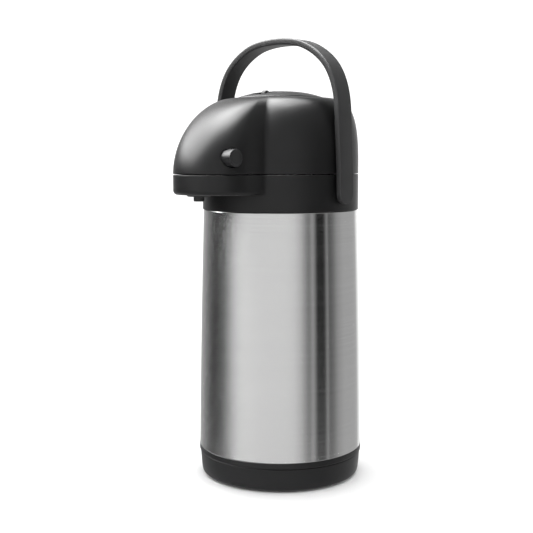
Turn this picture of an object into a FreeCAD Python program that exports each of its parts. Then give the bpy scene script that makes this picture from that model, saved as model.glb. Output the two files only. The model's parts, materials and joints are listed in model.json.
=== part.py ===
import FreeCAD, Part
import Sketcher
import math
import os

# Thermal coffee airpot: a double-walled steel bottle on a turning base, with a
# plastic shoulder, a hinged bellows-pump lid, a lift-out siphon and a carry bail.
# Millimetres. The origin is the middle of the foot, on the bottle's axis.
# +Z is up, the spout points along -Y, the lid's hinge is at +Y, and the bail's
# pivots lie on the X direction.

V = FreeCAD.Vector
doc = FreeCAD.newDocument("airpot")

# ---------------------------------------------------------------- the sizes
SIZES = [
    ("base_seam_z", 29.3, "top of the trim ring, where the steel wall starts"),
    ("shell_radius_low", 80.0, "steel wall at the trim ring"),
    ("shell_radius_mid", 77.9, "steel wall at half its run"),
    ("shell_radius_top", 75.0, "steel wall under the collar"),
    ("shell_wall", 0.6, "steel thickness"),
    ("liner_radius", 70.0, "outside of the inner bottle"),
    ("liner_floor_z", 40.0, "underside of the inner bottle"),
    ("neck_radius", 36.5, "outside of the steel neck"),
    ("mouth_z", 277.6, "lip of the steel mouth"),
    ("collar_radius", 75.8, "outside of the plastic shoulder"),
    ("collar_low_z", 261.5, "lower edge of the shoulder"),
    ("collar_top_z", 295.5, "upper edge of the shoulder"),
    ("collar_wall", 3.0, "plastic thickness"),
    ("deck_z", 274.0, "underside of the shoulder's deck"),
    ("nose_half", 40.0, "half width of the nose"),
    ("nose_centre", 86.0, "middle of the nose's round end, from the axis"),
    ("nose_valley", 8.0, "radius where the nose meets the round part"),
    ("nose_floor_z", 277.5, "underside of the nose"),
    ("lid_low_z", 296.1, "lower edge of the lid"),
    ("lid_top_z", 367.6, "rim around the pump button"),
    ("lid_wall", 3.0, "lid thickness"),
    ("lid_rim", 46.0, "radius where the dome turns into the rim"),
    ("lid_round_nose", 1.85, "roundness of the dome over the nose"),
    ("lid_round_back", 3.1, "roundness of the dome elsewhere"),
    ("well_radius", 42.6, "hole for the pump button"),
    ("button_radius", 42.2, "pump button"),
    ("button_crown_z", 375.0, "top of the pump button"),
    ("flange_radius", 45.3, "retaining flange of the pump button"),
    ("pipe_z", 287.0, "middle of the delivery pipe's level run"),
    ("pipe_out", 108.5, "outlet's distance from the axis"),
    ("pipe_radius", 4.75, "outside of the delivery pipe"),
    ("pipe_wall", 1.2, "thickness of the delivery pipe"),
    ("nozzle_tip_z", 271.8, "end of the outlet"),
    ("siphon_radius", 4.0, "outside of the siphon tube"),
    ("siphon_foot_z", 47.0, "lower end of the siphon tube"),
    ("hinge_y", 72.0, "lid hinge axis"),
    ("hinge_z", 296.0, "lid hinge axis"),
    ("hinge_pin_radius", 1.6, "lid hinge pin"),
    ("knuckle_radius", 4.0, "lid hinge knuckles"),
    ("release_y", 101.5, "release button, from the axis towards the spout"),
    ("release_z", 310.7, "release button's height"),
    ("release_radius", 8.0, "release button cap"),
    ("release_face", 40.6, "outer face of the release button from the middle"),
    ("bail_pivot_z", 278.3, "bail pivot height"),
    ("bail_outer", 84.0, "outer face of the bail at its pivots"),
    ("bail_thick", 6.0, "thickness of the bail band"),
    ("bail_width", 19.5, "width of the bail band"),
    ("bail_crown_z", 424.5, "top of the bail"),
    ("pin_radius", 3.5, "bail pivot pin"),
    ("pin_clear", 0.05, "running clearance of pins"),
    ("pump_stroke", 28.0, "travel of the pump button"),
]
sheet = doc.addObject("Spreadsheet::Sheet", "Sizes")
for i, (alias, value, words) in enumerate(SIZES):
    cell = "B%d" % (i + 1)
    sheet.set("A%d" % (i + 1), alias.replace("_", " "))
    sheet.set(cell, str(value))
    sheet.set("C%d" % (i + 1), words)
    sheet.setAlias(cell, alias)
doc.recompute()


class Size:
    """A length from the sheet, or worked out from such lengths: its value and its expression."""

    def __init__(self, value, text):
        self.value, self.text = float(value), text

    def _with(self, other, sign, turned=False):
        a, b = (other, self) if turned else (self, other)
        x = a.value if isinstance(a, Size) else float(a)
        y = b.value if isinstance(b, Size) else float(b)
        p = a.text if isinstance(a, Size) else repr(float(a))
        q = b.text if isinstance(b, Size) else repr(float(b))
        value = {"+": x + y, "-": x - y, "*": x * y}[sign] if sign != "/" else x / y
        return Size(value, "(%s %s %s)" % (p, sign, q))

    def __add__(self, o):
        return self._with(o, "+")

    def __radd__(self, o):
        return self._with(o, "+", True)

    def __sub__(self, o):
        return self._with(o, "-")

    def __rsub__(self, o):
        return self._with(o, "-", True)

    def __mul__(self, o):
        return self._with(o, "*")

    def __rmul__(self, o):
        return self._with(o, "*", True)

    def __truediv__(self, o):
        return self._with(o, "/")

    def __neg__(self):
        return self._with(-1.0, "*")


S = {alias: Size(getattr(sheet, alias), "Sizes." + alias) for alias, _, _ in SIZES}


def num(x):
    return x.value if isinstance(x, Size) else float(x)


def bind(obj, prop, x):
    """Sets a property, and binds it to the sheet where the size comes from there."""
    if isinstance(x, Size):
        obj.setExpression(prop, x.text)
    else:
        setattr(obj, prop, float(x))


NODES = []


def keep(obj, label):
    obj.Label = label
    NODES.append(obj)
    return obj


# ---------------------------------------------------------------- makers
def plane_of(body, role):
    return [f for f in body.Origin.OriginFeatures if f.Role == role][0]


def sketch_on(body, name, role="XZ_Plane"):
    sk = body.newObject("Sketcher::SketchObject", name)
    sk.AttachmentSupport = [(plane_of(body, role), "")]
    sk.MapMode = "FlatFace"
    return sk


def polygon(sk, points, bulge=None):
    """A closed outline whose corners are dimensioned from the sketch's origin. bulge gives, for the side that starts at a corner, a middle point of an arc."""
    bulge = bulge or {}
    flat = [(num(a), num(b)) for a, b in points]
    n = len(flat)
    start, end = {}, {}
    for i in range(n):
        a, b = V(flat[i][0], flat[i][1], 0), V(*flat[(i + 1) % n], 0)
        if i in bulge:
            mid = V(num(bulge[i][0]), num(bulge[i][1]), 0)
            arc = Part.Arc(a, mid, b)
            g = sk.addGeometry(arc, False)
            first = sk.getPoint(g, 1)
            flip = (first - a).Length > 1e-4
            start[i], end[i] = (2, 1) if flip else (1, 2)
            sk.addConstraint(Sketcher.Constraint("Radius", g, sk.Geometry[g].Radius))
        else:
            sk.addGeometry(Part.LineSegment(a, b), False)
            start[i], end[i] = 1, 2
    for i in range(n):
        j = (i + 1) % n
        sk.addConstraint(Sketcher.Constraint("Coincident", i, end[i], j, start[j]))
    for i in range(n):
        for k, (kind, axis) in enumerate((("DistanceX", -2), ("DistanceY", -1))):
            x = points[i][k]
            if not isinstance(x, Size) and abs(x) < 1e-9:
                sk.addConstraint(Sketcher.Constraint("PointOnObject", i, start[i], axis))
                continue
            c = sk.addConstraint(
                Sketcher.Constraint(kind, -1, 1, i, start[i], num(x))
            )
            if isinstance(x, Size):
                sk.setExpression("Constraints[%d]" % c, x.text)
    return sk


def turned(name, points, bulge=None, label=True):
    """A round piece: its half section (radius, height) turned once about the Z axis."""
    body = doc.addObject("PartDesign::Body", name)
    sk = sketch_on(body, name + "_section")
    polygon(sk, points, bulge)
    rev = body.newObject("PartDesign::Revolution", name + "_turn")
    rev.Profile = sk
    rev.ReferenceAxis = (sk, ["V_Axis"])
    rev.Angle = 360
    if label:
        keep(body, name)
    return body


def box(name, x, y, z, dx, dy, dz):
    b = doc.addObject("Part::Box", name)
    bind(b, "Length", dx)
    bind(b, "Width", dy)
    bind(b, "Height", dz)
    place(b, x, y, z)
    return b


def place(obj, x, y, z, axis=None, angle=0.0):
    obj.Placement = FreeCAD.Placement(
        V(num(x), num(y), num(z)), FreeCAD.Rotation(axis or V(0, 0, 1), angle)
    )
    for prop, v in (("x", x), ("y", y), ("z", z)):
        if isinstance(v, Size):
            obj.setExpression("Placement.Base." + prop, v.text)


def rod(name, radius, length, x, y, z, axis=None, angle=0.0):
    c = doc.addObject("Part::Cylinder", name)
    bind(c, "Radius", radius)
    bind(c, "Height", length)
    place(c, x, y, z, axis, angle)
    return c


def rod_x(name, radius, length, x, y, z):
    """A cylinder that runs along +X from the point given."""
    return rod(name, radius, length, x, y, z, V(0, 1, 0), 90.0)


def cut(name, base, tool):
    c = doc.addObject("Part::Cut", name)
    c.Base, c.Tool = base, tool
    return c


def fuse(name, *shapes):
    f = doc.addObject("Part::MultiFuse", name)
    f.Shapes = list(shapes)
    return f


def common(name, *shapes):
    f = doc.addObject("Part::MultiCommon", name)
    f.Shapes = list(shapes)
    return f


def shaped(name, shape):
    f = doc.addObject("Part::Feature", name)
    f.Shape = shape
    f.Placement = FreeCAD.Placement()
    return f


# ---------------------------------------------------------------- the foot
sw_top = S["base_seam_z"] - 6.1
turned("swivel_base", [
    (5.3, 7.0), (13.0, 7.0), (13.0, 1.0), (58.0, 1.0), (58.0, 2.5), (70.0, 2.5),
    (70.0, 1.0), (73.6, 1.0), (75.6, 1.5), (77.0, 2.9), (77.8, 5.2), (78.2, 9.0),
    (S["shell_radius_low"] - 0.5, sw_top), (76.4, sw_top), (75.6, 8.0), (74.0, 4.5),
    (66.0, 4.5), (66.0, 20.0), (60.0, 20.0), (60.0, 4.5), (16.0, 4.5), (16.0, 10.0),
    (5.3, 10.0),
])
turned("foot_ring", [(58.0, 0.4), (58.4, 0.0), (69.6, 0.0), (70.0, 0.4), (70.0, 2.5), (58.0, 2.5)])
turned("slide_ring", [(60.5, 20.0), (65.5, 20.0), (65.5, 23.6), (60.5, 23.6)])

seam = S["base_seam_z"]
low = S["shell_radius_low"]
turned("base_ring", [
    (1.6, 6.7), (5.25, 6.7), (5.25, 23.9), (76.0, 23.9), (low - 0.1, seam - 5.7),
    (low + 0.3, seam - 5.0), (low + 0.3, seam - 0.5), (low - 0.1, seam),
    (low - 0.8, seam), (low - 0.8, 40.0), (76.5, 40.0), (76.5, 27.0), (9.0, 27.0),
    (9.0, 30.0), (1.6, 30.0),
])
turned("pivot_washer", [(1.6, 5.5), (8.0, 5.5), (8.0, 6.7), (1.6, 6.7)])
turned("pivot_screw", [
    (0.0, 3.0), (3.6, 3.0), (4.3, 3.6), (4.5, 5.5), (1.6, 5.5), (1.6, 26.0), (0.0, 27.2),
])

# ---------------------------------------------------------------- the bottle
wall = S["shell_wall"]
mid = S["shell_radius_mid"]
top = S["shell_radius_top"]
neck = S["neck_radius"]
lip = S["mouth_z"]
turned("outer_shell", [
    (low, seam), (top, 256.0), (top - 0.05, 261.0), (72.6, 264.6), (68.0, 267.4),
    (58.0, 270.2), (46.0, 271.6), (neck + 1.5, 272.2), (neck, 273.4), (neck, lip - wall),
    (neck - wall, lip - wall), (neck - wall, 272.6), (neck + 1.2, 271.5),
    (46.0, 270.9), (57.8, 269.5), (67.6, 266.8), (72.0, 264.2), (top - 0.7, 260.8),
    (top - wall, 256.0), (low - wall, seam),
], bulge={0: (mid, 150.0), 18: (mid - wall, 150.0)})
lr = S["liner_radius"]
lf = S["liner_floor_z"]
turned("inner_liner", [
    (0.0, lf), (58.0, lf), (64.5, lf + 1.8), (68.4, lf + 5.6), (lr, lf + 12.0),
    (lr, 246.0), (68.6, 251.5), (65.0, 256.0), (58.0, 259.5), (46.0, 263.0),
    (38.0, 265.4), (35.6, 268.0), (35.2, 271.0), (35.2, lip - wall), (neck, lip - wall),
    (neck, lip), (34.6, lip), (34.6, 270.8), (35.0, 267.6), (37.6, 264.9),
    (45.8, 262.4), (57.7, 258.9), (64.6, 255.5), (68.1, 251.2), (lr - wall, 245.9),
    (lr - wall, lf + 12.2), (67.9, lf + 6.0), (64.2, lf + 2.4), (57.9, lf + wall),
    (0.0, lf + wall),
])
turned("outer_bottom", [
    (0.0, 32.0), (72.5, 32.0), (76.3, 35.8), (76.3, 41.0), (low - 0.75, 41.0),
    (low - 0.8, 45.0), (78.5, 45.0), (78.5, 41.8), (75.5, 41.8), (75.5, 36.2),
    (72.2, 32.8), (0.0, 32.8),
])
turned("getter", [(0.0, 36.6), (11.0, 36.6), (12.0, 37.4), (12.0, lf), (0.0, lf)])

# ---------------------------------------------------------------- outlines of the head
def union_wire(radius, half, centre, valley, z):
    """Outline of the round part joined to the nose, tangent all the way, at one height."""
    y_f = -math.sqrt((radius + valley) ** 2 - (half + valley) ** 2)
    k = radius / (radius + valley)
    tx, ty = (half + valley) * k, y_f * k
    dx, dy = half + valley - half, 0.0
    fx, fy = half + valley, y_f
    # middle of the valley's arc, on the side of the corner
    ux, uy = tx - fx, ty - fy
    n1 = math.hypot(ux, uy)
    wx, wy = ux / n1 - 1.0, uy / n1
    n2 = math.hypot(wx, wy)
    mx, my = fx + valley * wx / n2, fy + valley * wy / n2
    p = lambda x, y: V(x, y, z)
    edges = [
        Part.Arc(p(tx, ty), p(0, radius), p(-tx, ty)).toShape(),
        Part.Arc(p(-tx, ty), p(-mx, my), p(-half, y_f)).toShape(),
        Part.makeLine(p(-half, y_f), p(-half, -centre)),
        Part.Arc(p(-half, -centre), p(0, -centre - half), p(half, -centre)).toShape(),
        Part.makeLine(p(half, -centre), p(half, y_f)),
        Part.Arc(p(half, y_f), p(mx, my), p(tx, ty)).toShape(),
    ]
    return Part.Wire(edges)


def polar_radius(angle, radius, half, centre, valley):
    """The same outline as a distance from the axis, by angle from the nose's middle."""
    a = abs(math.remainder(angle, 2 * math.pi))
    dx, dy = math.sin(a), -math.cos(a)
    y_f = -math.sqrt((radius + valley) ** 2 - (half + valley) ** 2)
    cx, cy = half + valley, y_f
    k = radius / (radius + valley)
    if a >= math.atan2(cx * k, -cy * k):
        return radius
    if a >= math.atan2(half, -y_f):
        b = dx * cx + dy * cy
        return b - math.sqrt(max(b * b - (cx * cx + cy * cy - valley * valley), 0.0))
    if a >= math.atan2(half, centre):
        return half / dx
    b = -dy * centre
    return b + math.sqrt(b * b - (centre * centre - half * half))


R0 = num(S["collar_radius"])
HALF = num(S["nose_half"])
CENTRE = num(S["nose_centre"])
VALLEY = num(S["nose_valley"])
LOW = num(S["lid_low_z"])
TOP = num(S["lid_top_z"])
RIM = num(S["lid_rim"])
N_NOSE = num(S["lid_round_nose"])
N_BACK = num(S["lid_round_back"])


def dome(inset, low_z, top_z, rim, levels, count=96):
    """The lid's outer or inner form: closed smooth outlines from its lower edge up to a round rim, lofted."""
    wires = []
    for v in levels:
        pts = []
        for i in range(count):
            a = 2 * math.pi * i / count
            base = polar_radius(a, R0 - inset, HALF - inset, CENTRE, VALLEY + inset)
            w = math.remainder(a, 2 * math.pi)
            n = N_BACK + (N_NOSE - N_BACK) * math.exp(-((w / 0.9) ** 2))
            c = max(1.0 - v ** n, 0.0) ** (1.0 / n)
            r = rim + (base - rim) * c
            pts.append(V(r * math.sin(a), -r * math.cos(a), low_z + (top_z - low_z) * v))
        curve = Part.BSplineCurve()
        curve.interpolate(Points=pts, PeriodicFlag=True)
        wires.append(Part.Wire([curve.toShape()]))
    return Part.makeLoft(wires, True, False)


LEVELS = [0.0, 0.16, 0.32, 0.47, 0.6, 0.71, 0.8, 0.87, 0.925, 0.962, 0.985, 0.996, 1.0]

# ---------------------------------------------------------------- collar
cr = S["collar_radius"]
clow = S["collar_low_z"]
ctop = S["collar_top_z"]
cw = S["collar_wall"]
deck = S["deck_z"]
ring = turned("collar_ring", [
    (cr - 0.3, clow), (cr, clow + 0.4), (cr, ctop - 0.4), (cr - 0.4, ctop), (cr - cw, ctop),
    (cr - cw, deck + 3.0), (neck + 0.3, deck + 3.0), (neck + 0.3, deck), (70.0, deck),
    (72.4, deck - 2.0), (72.6, 267.0), (top + 0.2, clow),
], label=False)
NF = num(S["nose_floor_z"])
CT = num(S["collar_top_z"])
CW = num(cw)
outer_nose = Part.Face(union_wire(R0, HALF, CENTRE, VALLEY, NF)).extrude(V(0, 0, CT - NF))
# the nose's lower edge is rounded
edges = [e for e in outer_nose.Edges
         if abs(e.BoundBox.ZMax - NF) < 1e-3 and abs(e.BoundBox.ZMin - NF) < 1e-3
         and e.BoundBox.YMin < -CENTRE + 1.0]
outer_nose = outer_nose.makeFillet(4.0, edges) if edges else outer_nose
front = Part.makeBox(2 * HALF + 30, 90, 60, V(-HALF - 15, -140, NF - 5))
outer_nose = outer_nose.common(front)
nose_solid = shaped("nose_form", outer_nose)
inner_nose = Part.Face(
    union_wire(R0 - CW, HALF - CW, CENTRE, VALLEY + CW, NF + 2.5)
).extrude(V(0, 0, 40))
inner_nose = inner_nose.common(Part.makeBox(2 * HALF + 30, 90, 60, V(-HALF - 15, -140, NF - 5)))
hollow = shaped("nose_hollow", inner_nose)
core = rod("nose_core", cr - cw, 60.0, 0, 0, deck - 5.0)
nose_outside = cut("nose_outside", nose_solid, core)
ring_open = cut("ring_open", ring, hollow)
nose_open = cut("nose_open", nose_outside, hollow)
collar_a = fuse("collar_a", ring_open, nose_open)
outlet_hole = rod("outlet_hole", 5.0, 8.0, 0, -S["pipe_out"], S["nose_floor_z"] - 3.0)
notch = box("hinge_notch", -24.5, 66.0, 288.5, 49.0, 14.0, 12.0)
py, pz = S["hinge_y"], S["hinge_z"]
lugs = []
for i, x in enumerate((-22.0, 14.0)):
    b = box("lug_block%d" % i, x, 67.8, 284.0, 8.0, 8.0, 12.0)
    k = rod_x("lug_round%d" % i, S["knuckle_radius"], 8.0, x, py, pz)
    lugs += [b, k]
pin_bores = fuse("pin_bores",
                 rod_x("pin_bore_r", S["pin_radius"] + S["pin_clear"], 10.0, 70.0, 0, S["bail_pivot_z"]),
                 rod_x("pin_bore_l", S["pin_radius"] + S["pin_clear"], 10.0, -80.0, 0, S["bail_pivot_z"]),
                 rod_x("pin_room_r", S["pin_radius"] + 2.4, 3.6, 68.8, 0, S["bail_pivot_z"]),
                 rod_x("pin_room_l", S["pin_radius"] + 2.4, 3.6, -72.4, 0, S["bail_pivot_z"]))
hinge_bore = rod_x("hinge_bore", S["hinge_pin_radius"], 60.0, -30.0, py, pz)
screw_holes = fuse("screw_holes", *[
    rod("screw_hole%d" % i, 1.5, 10.0, 40.0 * math.cos(math.radians(a)), 40.0 * math.sin(math.radians(a)), 270.0)
    for i, a in enumerate((90, 210, 330))])
catch_block = box("catch_block", 31.6, -106.0, 288.5, 7.4, 9.0, 2.5)
catch_form = common("catch_form", catch_block, shaped("nose_form2", outer_nose.copy()))
collar_b = cut("collar_b", collar_a, fuse("collar_cuts", outlet_hole, notch, pin_bores, screw_holes))
collar_c = fuse("collar_c", collar_b, catch_form, *lugs)
collar = keep(cut("collar_body", collar_c, hinge_bore), "collar")

turned("neck_ring", [(neck, 273.4), (neck + 1.5, 272.2), (43.5, 271.8), (43.5, deck), (neck, deck)])
screws = []
for i, a in enumerate((90, 210, 330)):
    x, y = 40.0 * math.cos(math.radians(a)), 40.0 * math.sin(math.radians(a))
    screws.append(fuse("collar_screw%d" % i,
                       rod("collar_screw_head%d" % i, 2.8, 1.6, x, y, deck + 3.0),
                       rod("collar_screw_shank%d" % i, 1.5, 4.2, x, y, deck - 1.1)))
keep(fuse("collar_screws_set", *screws), "collar_screws")
# the screws' tips go into the ring on the neck
neck_body = NODES.pop([n.Label for n in NODES].index("neck_ring"))
neck_body.Label = "neck_ring_blank"
keep(cut("neck_ring_drilled", neck_body, fuse("neck_holes", *[
    rod("neck_hole%d" % i, 1.5, 10.0, 40.0 * math.cos(math.radians(a)), 40.0 * math.sin(math.radians(a)), deck - 1.1)
    for i, a in enumerate((90, 210, 330))])), "neck_ring")

# ---------------------------------------------------------------- siphon
turned("mouth_gasket", [(32.6, lip), (36.3, lip), (36.3, lip + 1.4), (32.6, lip + 1.4)])
g = lip + 1.4
head = turned("siphon_head_blank", [
    (4.05, 258.0), (7.0, 258.0), (8.0, 262.0), (8.0, 276.0), (30.0, 276.0), (30.0, 272.0),
    (32.4, 272.0), (32.4, g), (36.0, g), (36.0, g + 2.0), (30.0, g + 2.0), (30.0, 292.1),
    (26.6, 292.1), (26.6, g), (8.6, g), (8.6, 281.5), (4.8, 281.5), (4.8, 280.0), (4.7, 280.0),
    (4.7, 268.6), (2.8, 267.4), (2.8, 266.0), (4.05, 266.0),
], label=False)
air_holes = fuse("air_holes", *[
    rod("air_hole%d" % i, 3.0, 10.0, 18.0 * math.cos(math.radians(a)), 18.0 * math.sin(math.radians(a)), 272.0)
    for i, a in enumerate((0, 60, 120, 180, 240, 300))])
pipe_port = rod("pipe_port", S["pipe_radius"], 14.0, 0, -20.0, S["pipe_z"], V(1, 0, 0), 90.0)
keep(cut("siphon_head_body", head, fuse("head_cuts", air_holes, pipe_port)), "siphon_head")

foot = S["siphon_foot_z"]
tube = turned("siphon_tube_blank", [
    (S["siphon_radius"] - 0.7, foot), (S["siphon_radius"], foot), (S["siphon_radius"], 266.0),
    (S["siphon_radius"] - 0.7, 266.0)], label=False)
mouth_cut = box("siphon_bevel", -6.0, -1.2, foot - 1.0, 12.0, 2.4, 6.0)
keep(cut("siphon_tube_body", tube, mouth_cut), "siphon_tube")

ball = doc.addObject("Part::Sphere", "ball")
ball.Radius = 3.9
place(ball, 0, 0, 272.9)
keep(ball, "tip_valve_ball")

pr = num(S["pipe_radius"])
pt = num(S["pipe_wall"])
pz0 = num(S["pipe_z"])
po = num(S["pipe_out"])
bend = 5.5


def pipe_solid(radius):
    k = bend * (1 - math.sqrt(0.5))
    path = Part.Wire([
        Part.makeLine(V(0, 0, 280.0), V(0, 0, pz0 - bend)),
        Part.Arc(V(0, 0, pz0 - bend), V(0, -k, pz0 - k), V(0, -bend, pz0)).toShape(),
        Part.makeLine(V(0, -bend, pz0), V(0, -po + bend, pz0)),
        Part.Arc(V(0, -po + bend, pz0), V(0, -po + k, pz0 - k), V(0, -po, pz0 - bend)).toShape(),
        Part.makeLine(V(0, -po, pz0 - bend), V(0, -po, 280.6)),
    ])
    profile = Part.Wire([Part.makeCircle(radius, V(0, 0, 280.0), V(0, 0, 1))])
    return path.makePipeShell([profile], True, True)


pipe = keep(shaped("delivery_pipe_form", pipe_solid(pr).cut(pipe_solid(pr - pt))), "delivery_pipe")

noz = S["nozzle_tip_z"]
n = turned("spout_nozzle", [
    (3.5, noz), (4.5, noz), (4.85, noz + 0.5), (5.0, 280.0), (6.6, 280.0), (6.6, 281.5),
    (4.75, 281.5), (4.75, 280.6), (3.5, 280.6)])
n.Placement = FreeCAD.Placement(V(0, -po, 0), FreeCAD.Rotation())
n.setExpression("Placement.Base.y", "-Sizes.pipe_out")
fl = turned("spout_flange", [
    (5.05, 276.2), (10.2, 276.2), (10.8, 276.8), (10.8, 277.5), (5.05, 277.5)])
fl.Placement = FreeCAD.Placement(V(0, -po, 0), FreeCAD.Rotation())
fl.setExpression("Placement.Base.y", "-Sizes.pipe_out")

# ---------------------------------------------------------------- lid
LW = num(S["lid_wall"])
lid_outer = dome(0.0, LOW, TOP, RIM, LEVELS)
lid_inner = dome(LW, LOW - 0.4, TOP - LW, RIM - 1.0, LEVELS)
lid_skin = lid_outer.cut(lid_inner)
skin = shaped("lid_skin", lid_skin)
well = turned("lid_well", [
    (S["flange_radius"] + 0.3, 325.0), (S["flange_radius"] + 2.5, 325.0),
    (S["flange_radius"] + 2.5, S["lid_top_z"] - 1.0), (S["well_radius"] - 0.4, S["lid_top_z"] - 1.0),
    (S["well_radius"] - 0.4, S["lid_top_z"] - 4.2), (S["flange_radius"] + 0.3, S["lid_top_z"] - 4.2),
], label=False)
bosses = []
BOSS = ((50, 49), (-50, 49), (130, 49), (-130, 49))
for i, (a, r) in enumerate(((40, 51.0), (140, 51.0), (220, 51.0), (320, 51.0))):
    x, y = r * math.cos(math.radians(a)), r * math.sin(math.radians(a))
    bosses.append(rod("lid_boss%d" % i, 4.0, 46.0, x, y, 299.3))
knuckle = rod_x("lid_knuckle", S["knuckle_radius"], 27.4, -13.7, py, pz)
web = box("lid_knuckle_web", -13.7, 70.6, 296.0, 27.4, 4.6, 10.0)
lid_a = fuse("lid_a", skin, well, *bosses, knuckle, web)
button_hole = rod("button_hole", S["well_radius"], 30.0, 0, 0, S["lid_top_z"] - 10.0)
side_hole = rod_x("release_hole", S["release_radius"] + 0.9, 40.0, 20.0, -S["release_y"], S["release_z"])
lug_room = fuse("lug_room",
                box("lug_room0", -22.5, 66.0, 290.0, 8.6, 16.0, 10.8),
                box("lug_room1", 13.9, 66.0, 290.0, 8.6, 16.0, 10.8))
lock_slot = box("lock_slot", -4.5, -52.0, S["lid_top_z"] - 7.6, 9.0, 8.0, 3.2)
boss_holes = fuse("boss_holes", *[
    rod("boss_hole%d" % i, 1.4, 14.0, 51.0 * math.cos(math.radians(a)), 51.0 * math.sin(math.radians(a)), 298.0)
    for i, a in enumerate((40, 140, 220, 320))])
hinge_bore2 = rod_x("hinge_bore_lid", S["hinge_pin_radius"] + S["pin_clear"], 60.0, -30.0, py, pz)
lid = cut("lid_shell_body", lid_a, fuse("lid_cuts", button_hole, side_hole, lug_room, lock_slot, boss_holes, hinge_bore2))
keep(lid, "lid_shell")

keep(rod_x("hinge_pin_rod", S["hinge_pin_radius"], 44.0, -22.0, py, pz), "hinge_pin")

plate_z = 296.6
plate = Part.Face(union_wire(R0 - 3.6, HALF - 3.6, CENTRE, VALLEY + 3.6, plate_z)).extrude(V(0, 0, 2.4))
plate = shaped("underplate_form", plate)
plate_cuts = [box("hinge_room", -26.0, 64.0, 290.0, 52.0, 20.0, 20.0),
              rod("valve_hole", 2.0, 10.0, 0, 0, 292.0)]
for i, a in enumerate((0, 60, 120, 180, 240, 300)):
    plate_cuts.append(rod("air_port%d" % i, 2.0, 10.0, 6.0 * math.cos(math.radians(a)), 6.0 * math.sin(math.radians(a)), 292.0))
for i, a in enumerate((40, 140, 220, 320)):
    plate_cuts.append(rod("plate_hole%d" % i, 1.4, 10.0, 51.0 * math.cos(math.radians(a)), 51.0 * math.sin(math.radians(a)), 292.0))
plate_cuts += [box("arm_slot", 18.8, -107.0, 290.0, 6.0, 11.0, 20.0)]
keep(cut("underplate_body", plate, fuse("plate_cuts", *plate_cuts)), "lid_underplate")
turned("lid_gasket", [(25.6, 292.4), (30.6, 292.4), (31.4, 293.2), (31.4, plate_z), (25.6, plate_z)])
lscrews = []
for i, a in enumerate((40, 140, 220, 320)):
    x, y = 51.0 * math.cos(math.radians(a)), 51.0 * math.sin(math.radians(a))
    lscrews.append(fuse("lid_screw%d" % i,
                        rod("lid_screw_head%d" % i, 2.8, 1.8, x, y, plate_z - 1.8),
                        rod("lid_screw_shank%d" % i, 1.4, 14.0, x, y, plate_z)))
keep(fuse("lid_screws_set", *lscrews), "lid_screws")
turned("air_valve", [(0.0, 293.8), (5.0, 294.4), (9.0, 296.0), (9.0, plate_z), (2.0, plate_z),
                     (2.0, 299.0), (3.2, 299.6), (0.0, 301.6)])

# spring holder in the nose
block = box("latch_block_form", -2.0, -107.0, 299.0, 14.0, 11.0, 18.5)
pocket = rod_x("spring_pocket", 4.3, 30.0, 1.0, -S["release_y"], S["release_z"])
keep(cut("latch_block_body", block, pocket), "latch_block")


def helix_spring(radius, wire, turns, height, per=20):
    """A coil of round wire, run as short straight lengths that meet on mitres."""
    pitch = (height - wire) / turns
    pts = [V(radius * math.cos(2 * math.pi * i / per), radius * math.sin(2 * math.pi * i / per),
             wire / 2 + pitch * i / per) for i in range(int(turns * per) + 1)]
    profile = Part.Wire([Part.makeCircle(wire / 2, pts[0], pts[1] - pts[0])])
    return Part.makePolygon(pts).makePipeShell([profile], True, False, 1)


# bellows and its spring, which give as the button goes down
keep(shaped("return_spring_form", helix_spring(17.0, 1.8, 6, 55.0, 24)), "return_spring")
NODES[-1].Placement = FreeCAD.Placement(V(0, 0, 299.1), FreeCAD.Rotation())
folds = [(33.5, 299.0)]
steps = 6
for i in range(steps):
    z = 300.6 + i * 8.6
    folds += [(33.5, z), (27.5, z + 4.3)]
folds += [(33.5, 300.6 + steps * 8.6), (33.5, 355.4), (3.0, 355.4), (3.0, 354.2), (32.2, 354.2)]
back = [(32.2, 300.9 + steps * 8.6)]
for i in reversed(range(steps)):
    z = 300.6 + i * 8.6
    back += [(26.2, z + 4.3), (32.2, z + 0.3)]
folds += back[1:] + [(32.2, 300.2), (24.0, 300.2), (24.0, 299.0)]
turned("bellows", folds)

# ---------------------------------------------------------------- pump button
br = S["button_radius"]
fr = S["flange_radius"]
bt = S["button_crown_z"]
lt = S["lid_top_z"]
blank = turned("pump_button_blank", [
    (0.0, bt), (14.0, bt - 0.5), (26.0, bt - 1.9), (35.0, bt - 4.0), (40.2, bt - 5.6),
    (br - 0.3, bt - 6.2), (br, bt - 6.9), (br, lt - 4.5), (fr, lt - 4.5), (fr, lt - 7.7),
    (39.2, lt - 7.7), (39.2, bt - 9.4), (34.0, bt - 8.2), (25.6, bt - 6.6), (12.0, bt - 6.0),
    (12.0, lt - 7.6), (9.0, lt - 7.6), (9.0, bt - 6.0), (0.0, bt - 6.0),
], label=False)
tongue_gate = box("tongue_gate", -4.6, -48.0, lt - 8.2, 9.2, 11.0, 3.9)
stem_gate = box("stem_gate", -2.6, -30.2, lt - 6.2, 5.2, 15.4, 20.0)
knob_floor = bt - 4.0
track = rod("lock_dish", 13.0, 10.0, 0, -24.0, knob_floor)
keep(cut("pump_button_body", blank, fuse("button_cuts", tongue_gate, stem_gate, track)), "pump_button")
turned("vent_pad", [(0.0, 355.8), (8.6, 355.8), (9.0, 356.2), (12.0, lt - 7.6), (0.0, lt - 7.6)])

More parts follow.
